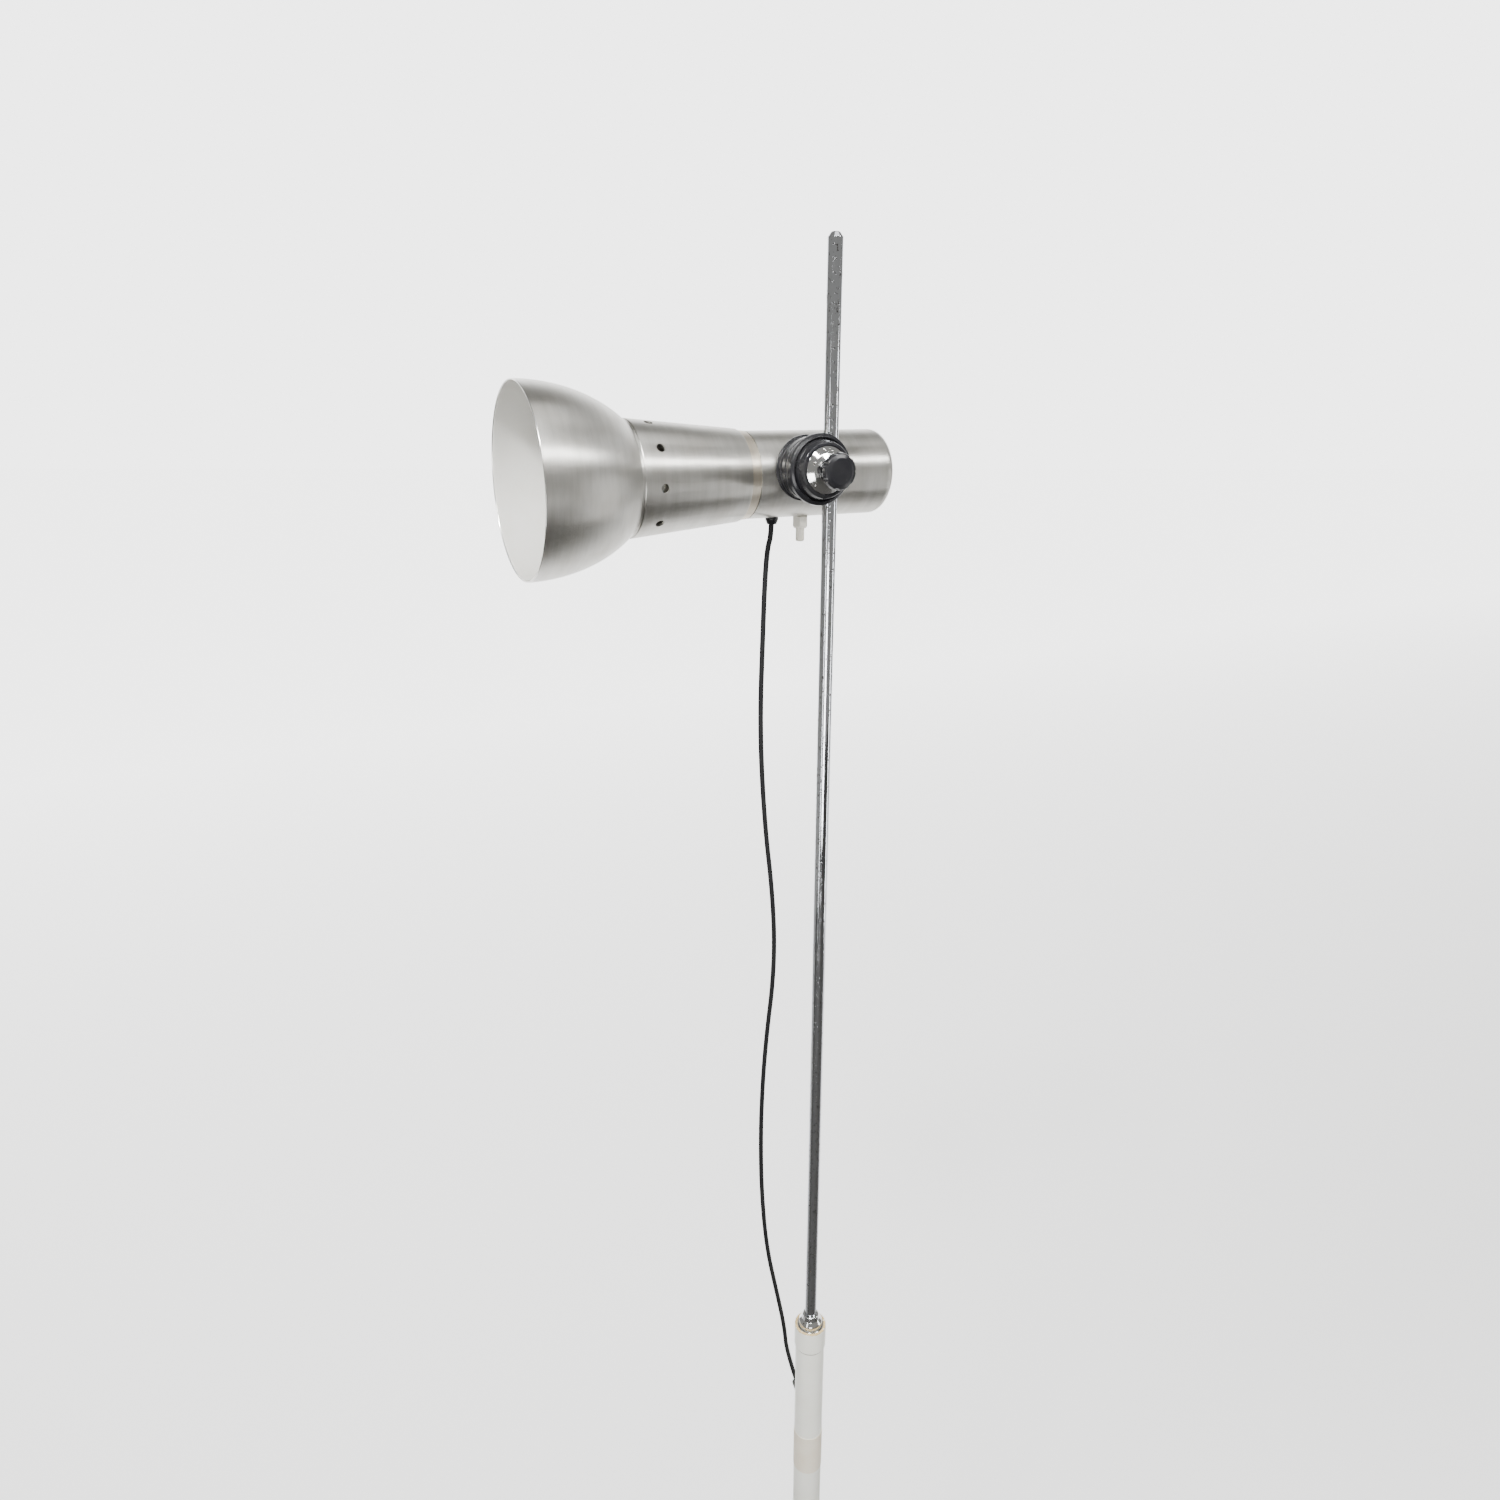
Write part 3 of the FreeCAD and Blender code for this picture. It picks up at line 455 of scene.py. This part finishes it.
def makeSpring():
    count = spring["turns"] * spring["steps"]
    points = []
    radius = spring["radius"] * mm
    for k in range(count + 1):
        angle = 2 * math.pi * k / spring["steps"]
        z = spring["low"] + (spring["high"] - spring["low"]) * k / count
        points.append((radius * math.cos(angle), radius * math.sin(angle), z * mm))
    made = makeTube("springCoil", points, spring["wire"] * mm, materials["steel"])
    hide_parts("tension_spring")
    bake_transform(made)


makeSpring()
print("spring made")

# turned shells of the head
headAxis = {"y": 0.052, "z": 2.279}  # in metres, the pieces on it in mm


def softCorners(points, steps=5):
    # an (along, radius) point stays as it is, and one with a corner size becomes a small arc
    result, count = [], len(points)
    for i, point in enumerate(points):
        here = Vector((point[0], point[1]))
        size = point[2] if len(point) > 2 else 0
        if not size:
            result.append(here)
            continue
        back = (Vector(points[i - 1][:2]) - here).normalized()
        ahead = (Vector(points[(i + 1) % count][:2]) - here).normalized()
        half = back.angle(ahead) / 2
        middle = (back + ahead).normalized()
        centre = here + middle * (size / math.sin(half))
        reach = size / math.tan(half)
        first, last = here + back * reach - centre, here + ahead * reach - centre
        for k in range(steps + 1):
            result.append(centre + first.slerp(last, k / steps))
    return result


def turnedMesh(name, profile, node, slotFor, segments=128, sharp=32):
    # the profile is in mm along the head's axis, and slotFor gives the slot of the wall after each point
    bm = bmesh.new()
    rings = []
    for along, radius in profile:
        ring = []
        for k in range(segments):
            angle = 2 * math.pi * k / segments
            y = headAxis["y"] + radius * mm * math.cos(angle)
            z = headAxis["z"] + radius * mm * math.sin(angle)
            ring.append(bm.verts.new((along * mm, y, z)))
        rings.append(ring)
    for i in range(len(rings)):
        a, b = rings[i], rings[(i + 1) % len(rings)]
        for k in range(segments):
            n = (k + 1) % segments
            face = bm.faces.new((a[k], a[n], b[n], b[k]))
            face.material_index = slotFor(i)
            face.smooth = True
    bmesh.ops.remove_doubles(bm, verts=bm.verts, dist=1e-7)
    bmesh.ops.recalc_face_normals(bm, faces=bm.faces)
    for edge in bm.edges:
        if len(edge.link_faces) == 2 and edge.calc_face_angle() > math.radians(sharp):
            edge.smooth = False
    mesh = bpy.data.meshes.new(name)
    bm.to_mesh(mesh)
    bm.free()
    made = bpy.data.objects.new(name, mesh)
    bpy.context.collection.objects.link(made)
    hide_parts(node)
    return made


bell = {"mouth": -236.8, "length": 103.5, "radius": 72.8, "sheet": 1.2, "lip": 0.5, "lipRound": (0.1, 0.35),
        "neck": 44.5, "innerNeck": 42.1, "junction": -152.4, "spigot": 8, "spigotRadius": (43.2, 42.4),
        "bore": 41.3, "steps": 40}


def quarterOval(length, radius, neck):
    # from the mouth to where the radius has come down to the neck's
    stop = math.asin(neck / radius)
    points = []
    for k in range(bell["steps"] + 1):
        t = math.pi / 2 + (stop - math.pi / 2) * k / bell["steps"]
        points.append((bell["mouth"] + bell["lip"] + length * math.cos(t), radius * math.sin(t)))
    return points


def bellProfile():
    deep = bell["length"] - bell["lip"]
    outer = quarterOval(deep, bell["radius"], bell["neck"])
    inner = quarterOval(deep - bell["sheet"], bell["radius"] - bell["sheet"], bell["innerNeck"])
    crest = bell["radius"] - bell["sheet"] / 2
    back, aside = bell["lipRound"]
    lip = [(bell["mouth"] + back, crest - aside), (bell["mouth"], crest),
           (bell["mouth"] + back, crest + aside)]
    tip = bell["junction"] + bell["spigot"]
    wide, narrow = bell["spigotRadius"]
    neck = [(bell["junction"], bell["neck"]), (bell["junction"], wide), (tip, narrow), (tip, bell["bore"])]
    return lip + outer + neck + inner[::-1], len(lip), len(outer)


profile, lipCount, outerCount = bellProfile()
bellCoats = ["spun", "enamel", "rimEdge"]


def bellSlot(i):
    # spun outside, enamel inside, and the cut edge round the lip
    if i < lipCount or i >= len(profile) - 1:
        return bellCoats.index("rimEdge")
    return bellCoats.index("spun" if i < lipCount + outerCount + 1 else "enamel")


bellShell = turnedMesh("bellShell", profile, "bell", bellSlot)
for key in bellCoats:
    bellShell.data.materials.append(materials[key])
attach(bellShell, "head")

cone = {"start": -152.4, "end": -60.2, "wide": 44.5, "narrow": 36.2, "sheet": 1.2, "hole": 32.3,
        "innerEnd": 35.1, "vents": 9, "ventRadius": 3.5, "ventAt": -136.8, "ventAngle": 6.0,
        "drillSides": 28, "drillLength": 30, "drillOut": 40}


def coneProfile():
    inside = cone["end"] - cone["sheet"]
    return softCorners([
        (cone["start"], cone["wide"] - cone["sheet"]), (cone["start"], cone["wide"], 0.3),
        (cone["end"], cone["narrow"], 0.5), (cone["end"], cone["hole"]), (inside, cone["hole"]),
        (inside, cone["innerEnd"])])


coneShell = turnedMesh("coneShell", coneProfile(), "cone", lambda i: 0)
coneShell.data.materials.append(materials["spun"])


def ventNodes():
    # a ring of cutters round the head's axis, taken out of the shell
    tree = bpy.data.node_groups.new("ventRing", "GeometryNodeTree")
    face = tree.interface
    face.new_socket("Geometry", in_out="INPUT", socket_type="NodeSocketGeometry")
    sockets = {}
    for label, kind in (("Count", "Int"), ("Radius", "Float"), ("Station", "Float"), ("First Angle", "Float"),
                        ("Material", "Material")):
        sockets[label] = face.new_socket(label, in_out="INPUT", socket_type="NodeSocket" + kind)
    face.new_socket("Geometry", in_out="OUTPUT", socket_type="NodeSocketGeometry")
    link = tree.links.new
    source = addNode(tree, "NodeGroupInput", (-1200, 0))
    out = addNode(tree, "NodeGroupOutput", (700, 0))
    points = addNode(tree, "GeometryNodePoints", (-900, 100))
    index = addNode(tree, "GeometryNodeInputIndex", (-1200, -300))
    step = addNode(tree, "ShaderNodeMath", (-1000, -200), operation="DIVIDE")
    step.inputs[0].default_value = 2 * math.pi
    angle = addNode(tree, "ShaderNodeMath", (-800, -250), operation="MULTIPLY_ADD")
    turn = addNode(tree, "ShaderNodeCombineXYZ", (-600, -250))
    centre = addNode(tree, "ShaderNodeCombineXYZ", (-900, -80))
    centre.inputs["Y"].default_value = headAxis["y"]
    centre.inputs["Z"].default_value = headAxis["z"]
    drill = addNode(tree, "GeometryNodeMeshCylinder", (-900, 400))
    fill(drill, Vertices=cone["drillSides"], Depth=cone["drillLength"] * mm)
    shift = addNode(tree, "GeometryNodeTransform", (-650, 400))
    shift.inputs["Translation"].default_value = (0, 0, cone["drillOut"] * mm)
    copies = addNode(tree, "GeometryNodeInstanceOnPoints", (-350, 200))
    real = addNode(tree, "GeometryNodeRealizeInstances", (-150, 200))
    cut = addNode(tree, "GeometryNodeMeshBoolean", (50, 100), operation="DIFFERENCE")
    paint = addNode(tree, "GeometryNodeSetMaterial", (450, 50))
    link(source.outputs["Count"], points.inputs["Count"])
    link(source.outputs["Station"], centre.inputs["X"])
    link(centre.outputs[0], points.inputs["Position"])
    link(source.outputs["Count"], step.inputs[1])
    link(index.outputs[0], angle.inputs[0])
    link(step.outputs[0], angle.inputs[1])
    link(source.outputs["First Angle"], angle.inputs[2])
    link(angle.outputs[0], turn.inputs["X"])
    link(source.outputs["Radius"], drill.inputs["Radius"])
    link(drill.outputs["Mesh"], shift.inputs["Geometry"])
    link(points.outputs[0], copies.inputs["Points"])
    link(shift.outputs[0], copies.inputs["Instance"])
    link(turn.outputs[0], copies.inputs["Rotation"])
    link(copies.outputs[0], real.inputs[0])
    link(source.outputs["Geometry"], cut.inputs["Mesh 1"])
    link(real.outputs[0], cut.inputs["Mesh 2"])
    link(cut.outputs["Mesh"], paint.inputs["Geometry"])
    link(source.outputs["Material"], paint.inputs["Material"])
    link(paint.outputs[0], out.inputs[0])
    return tree, sockets


def drillVents(made):
    tree, sockets = ventNodes()
    modifier = made.modifiers.new("vents", "NODES")
    modifier.node_group = tree
    modifier[sockets["Count"].identifier] = cone["vents"]
    modifier[sockets["Radius"].identifier] = cone["ventRadius"] * mm
    modifier[sockets["Station"].identifier] = cone["ventAt"] * mm
    modifier[sockets["First Angle"].identifier] = math.radians(90 + cone["ventAngle"])
    modifier[sockets["Material"].identifier] = materials["spun"]
    done = bpy.data.meshes.new_from_object(made.evaluated_get(bpy.context.evaluated_depsgraph_get()))
    made.modifiers.clear()
    made.data = done


drillVents(coneShell)
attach(coneShell, "head")
print("bell and cone made")

# finishes on the CAD nodes
finishes = {
    "spun": ["housing"], "band": ["band_ring"], "rod": ["chrome_rod", "rod_cap"],
    "chrome": ["rod_bushing", "dome_washer"],
    "black": ["clamp_back_half", "clamp_front_half", "trim_ring", "pressure_ring", "knob_grip",
              "swivel_disc", "head_gland"],
    "paint": ["pole_tube", "pole_collar"], "sleeve": ["pole_sleeve"],
    "cream": ["switch_nut", "switch_body", "switch_button", "holder_shell"],
    "rubber": ["floor_pad", "tube_grommet"], "cord": ["holder_leads"],
    "nylon": ["lower_guide", "rod_guide", "rod_liner", "cord_grip", "terminal_block"],
    "steel": ["foot_plunger", "spring_stop", "stop_rivet", "rod_stop_ring", "clamp_stud",
              "stud_washer", "stud_nut", "holder_bracket", "nipple_nut", "bulb_cap", "block_post"],
    "brass": ["knob_insert", "holder_contact", "holder_nipple", "terminal_screws"],
    "fibre": ["friction_washer"], "glass": ["bulb_glass"],
}
for key, nodes in finishes.items():
    for node in nodes:
        slots = bpy.data.objects[node].data.materials
        if not slots:
            slots.append(materials[key])
        for index in range(len(slots)):
            slots[index] = materials[key]
print("finishes assigned")

# floor, backdrop and light


def makePlane(name, corners, colour, glow=None):
    mesh = bpy.data.meshes.new(name)
    mesh.from_pydata(corners, [], [(0, 1, 2, 3)])
    made = bpy.data.objects.new(name, mesh)
    bpy.context.collection.objects.link(made)
    material = bpy.data.materials.new(name)
    material.use_nodes = True
    shader = material.node_tree.nodes["Principled BSDF"]
    fill(shader, Base_Color=(*colour, 1), Roughness=0.9, Emission_Color=(1, 1, 1, 1))
    if glow:
        # painted light: the floor glows though it is no lamp, dimmer near the lamp, full further back
        tree = material.node_tree
        where = addNode(tree, "ShaderNodeTexCoord", (-900, -200))
        apart = addNode(tree, "ShaderNodeSeparateXYZ", (-700, -200))
        rise = addNode(tree, "ShaderNodeMapRange", (-500, -200))
        fill(rise, From_Min=glow["near"], From_Max=glow["far"], To_Min=glow["dim"], To_Max=glow["full"])
        tree.links.new(where.outputs["Object"], apart.inputs[0])
        tree.links.new(apart.outputs["Y"], rise.inputs["Value"])
        tree.links.new(rise.outputs[0], shader.inputs["Emission Strength"])
    mesh.materials.append(material)


# a plain floor under the lamp, a glowing one behind it whose glow is painted light, and a dark flag below the
# head
planes = [
    {"name": "floor", "colour": (0.62, 0.62, 0.61),
     "corners": [(-7, -7, 0), (7, -7, 0), (7, 7, 0), (-7, 7, 0)]},
    {"name": "backFloor", "colour": (0.9, 0.9, 0.9),
     "corners": [(-1.41, 1.555, 0.002), (3.85, -1.12, 0.002), (45, 20.8, 0.002), (-9, 48.5, 0.002)],
     "glow": {"near": 0.5, "far": 7.0, "dim": 1.3, "full": 3.3}},
    {"name": "lowFlag", "colour": (0.04, 0.038, 0.035),
     "corners": [(-1.8, -3.2, 1.0), (2.2, -3.2, 1.0), (2.2, -1.05, 1.0), (-1.8, 0.6, 1.0)]},
]
for sheet in planes:
    makePlane(**sheet)

lights = [
    {"name": "keyPanel", "place": (-1.04, -0.72, 3.43), "size": (0.2, 0.2), "power": 62},
    {"name": "bandStrip", "place": (-0.05, -1.25, 3.2), "size": (2.8, 0.14), "power": 44},
    {"name": "topPanel", "place": (0.2, -0.4, 4.6), "size": (2.0, 1.2), "power": 14},
    {"name": "tubeFill", "place": (-1.0, -1.9, 1.5), "size": (0.8, 0.8), "power": 20},
    {"name": "leftStrip", "place": (-1.7, -0.9, 1.6), "size": (0.12, 1.6), "power": 6},
    {"name": "rightStrip", "place": (1.5, -1.0, 1.7), "size": (0.16, 1.6), "power": 9},
]
aim = Vector((-0.06, 0.05, 2.0))
for light in lights:
    data = bpy.data.lights.new(light["name"], "AREA")
    data.shape = "RECTANGLE"
    data.size, data.size_y = light["size"]
    data.energy = light["power"]
    lamp = bpy.data.objects.new(light["name"], data)
    bpy.context.collection.objects.link(lamp)
    lamp.location = light["place"]
    lamp.rotation_euler = (aim - lamp.location).to_track_quat("-Z", "Y").to_euler()

# the studio's wall is lit only behind the lamp and low down, and the room beside it is dark
studio = {"wallSide": (0.4535, 0.8912, 0), "wallEdge": (0.6, 0.78), "wallTop": (0.72, 0.42),
          "room": (0.075, 0.074, 0.07, 1), "wall": (1.0, 1.0, 1.0, 1), "strength": 4.0}


def makeWorld():
    world = bpy.data.worlds.new("studio")
    bpy.context.scene.world = world
    world.use_nodes = True
    tree = world.node_tree
    background = tree.nodes["Background"]
    background.inputs["Strength"].default_value = studio["strength"]
    place = addNode(tree, "ShaderNodeTexCoord", (-900, 0))
    parts = addNode(tree, "ShaderNodeSeparateXYZ", (-700, -150))
    facing = addNode(tree, "ShaderNodeVectorMath", (-700, 100), operation="DOT_PRODUCT")
    facing.inputs[1].default_value = studio["wallSide"]
    ahead = addNode(tree, "ShaderNodeMapRange", (-500, 100))
    fill(ahead, From_Min=studio["wallEdge"][0], From_Max=studio["wallEdge"][1])
    low = addNode(tree, "ShaderNodeMapRange", (-500, -150))
    fill(low, From_Min=studio["wallTop"][0], From_Max=studio["wallTop"][1])
    lit = addNode(tree, "ShaderNodeMath", (-380, 0), operation="MULTIPLY")
    room = addNode(tree, "ShaderNodeMix", (-250, 0), data_type="RGBA")
    room.inputs[6].default_value = studio["room"]
    room.inputs[7].default_value = studio["wall"]
    link = tree.links.new
    link(place.outputs["Generated"], parts.inputs[0])
    link(place.outputs["Generated"], facing.inputs[0])
    link(facing.outputs["Value"], ahead.inputs["Value"])
    link(parts.outputs["Z"], low.inputs["Value"])
    link(ahead.outputs[0], lit.inputs[0])
    link(low.outputs[0], lit.inputs[1])
    link(lit.outputs[0], room.inputs[0])
    link(room.outputs[2], background.inputs["Color"])


makeWorld()
print("stage and light made")
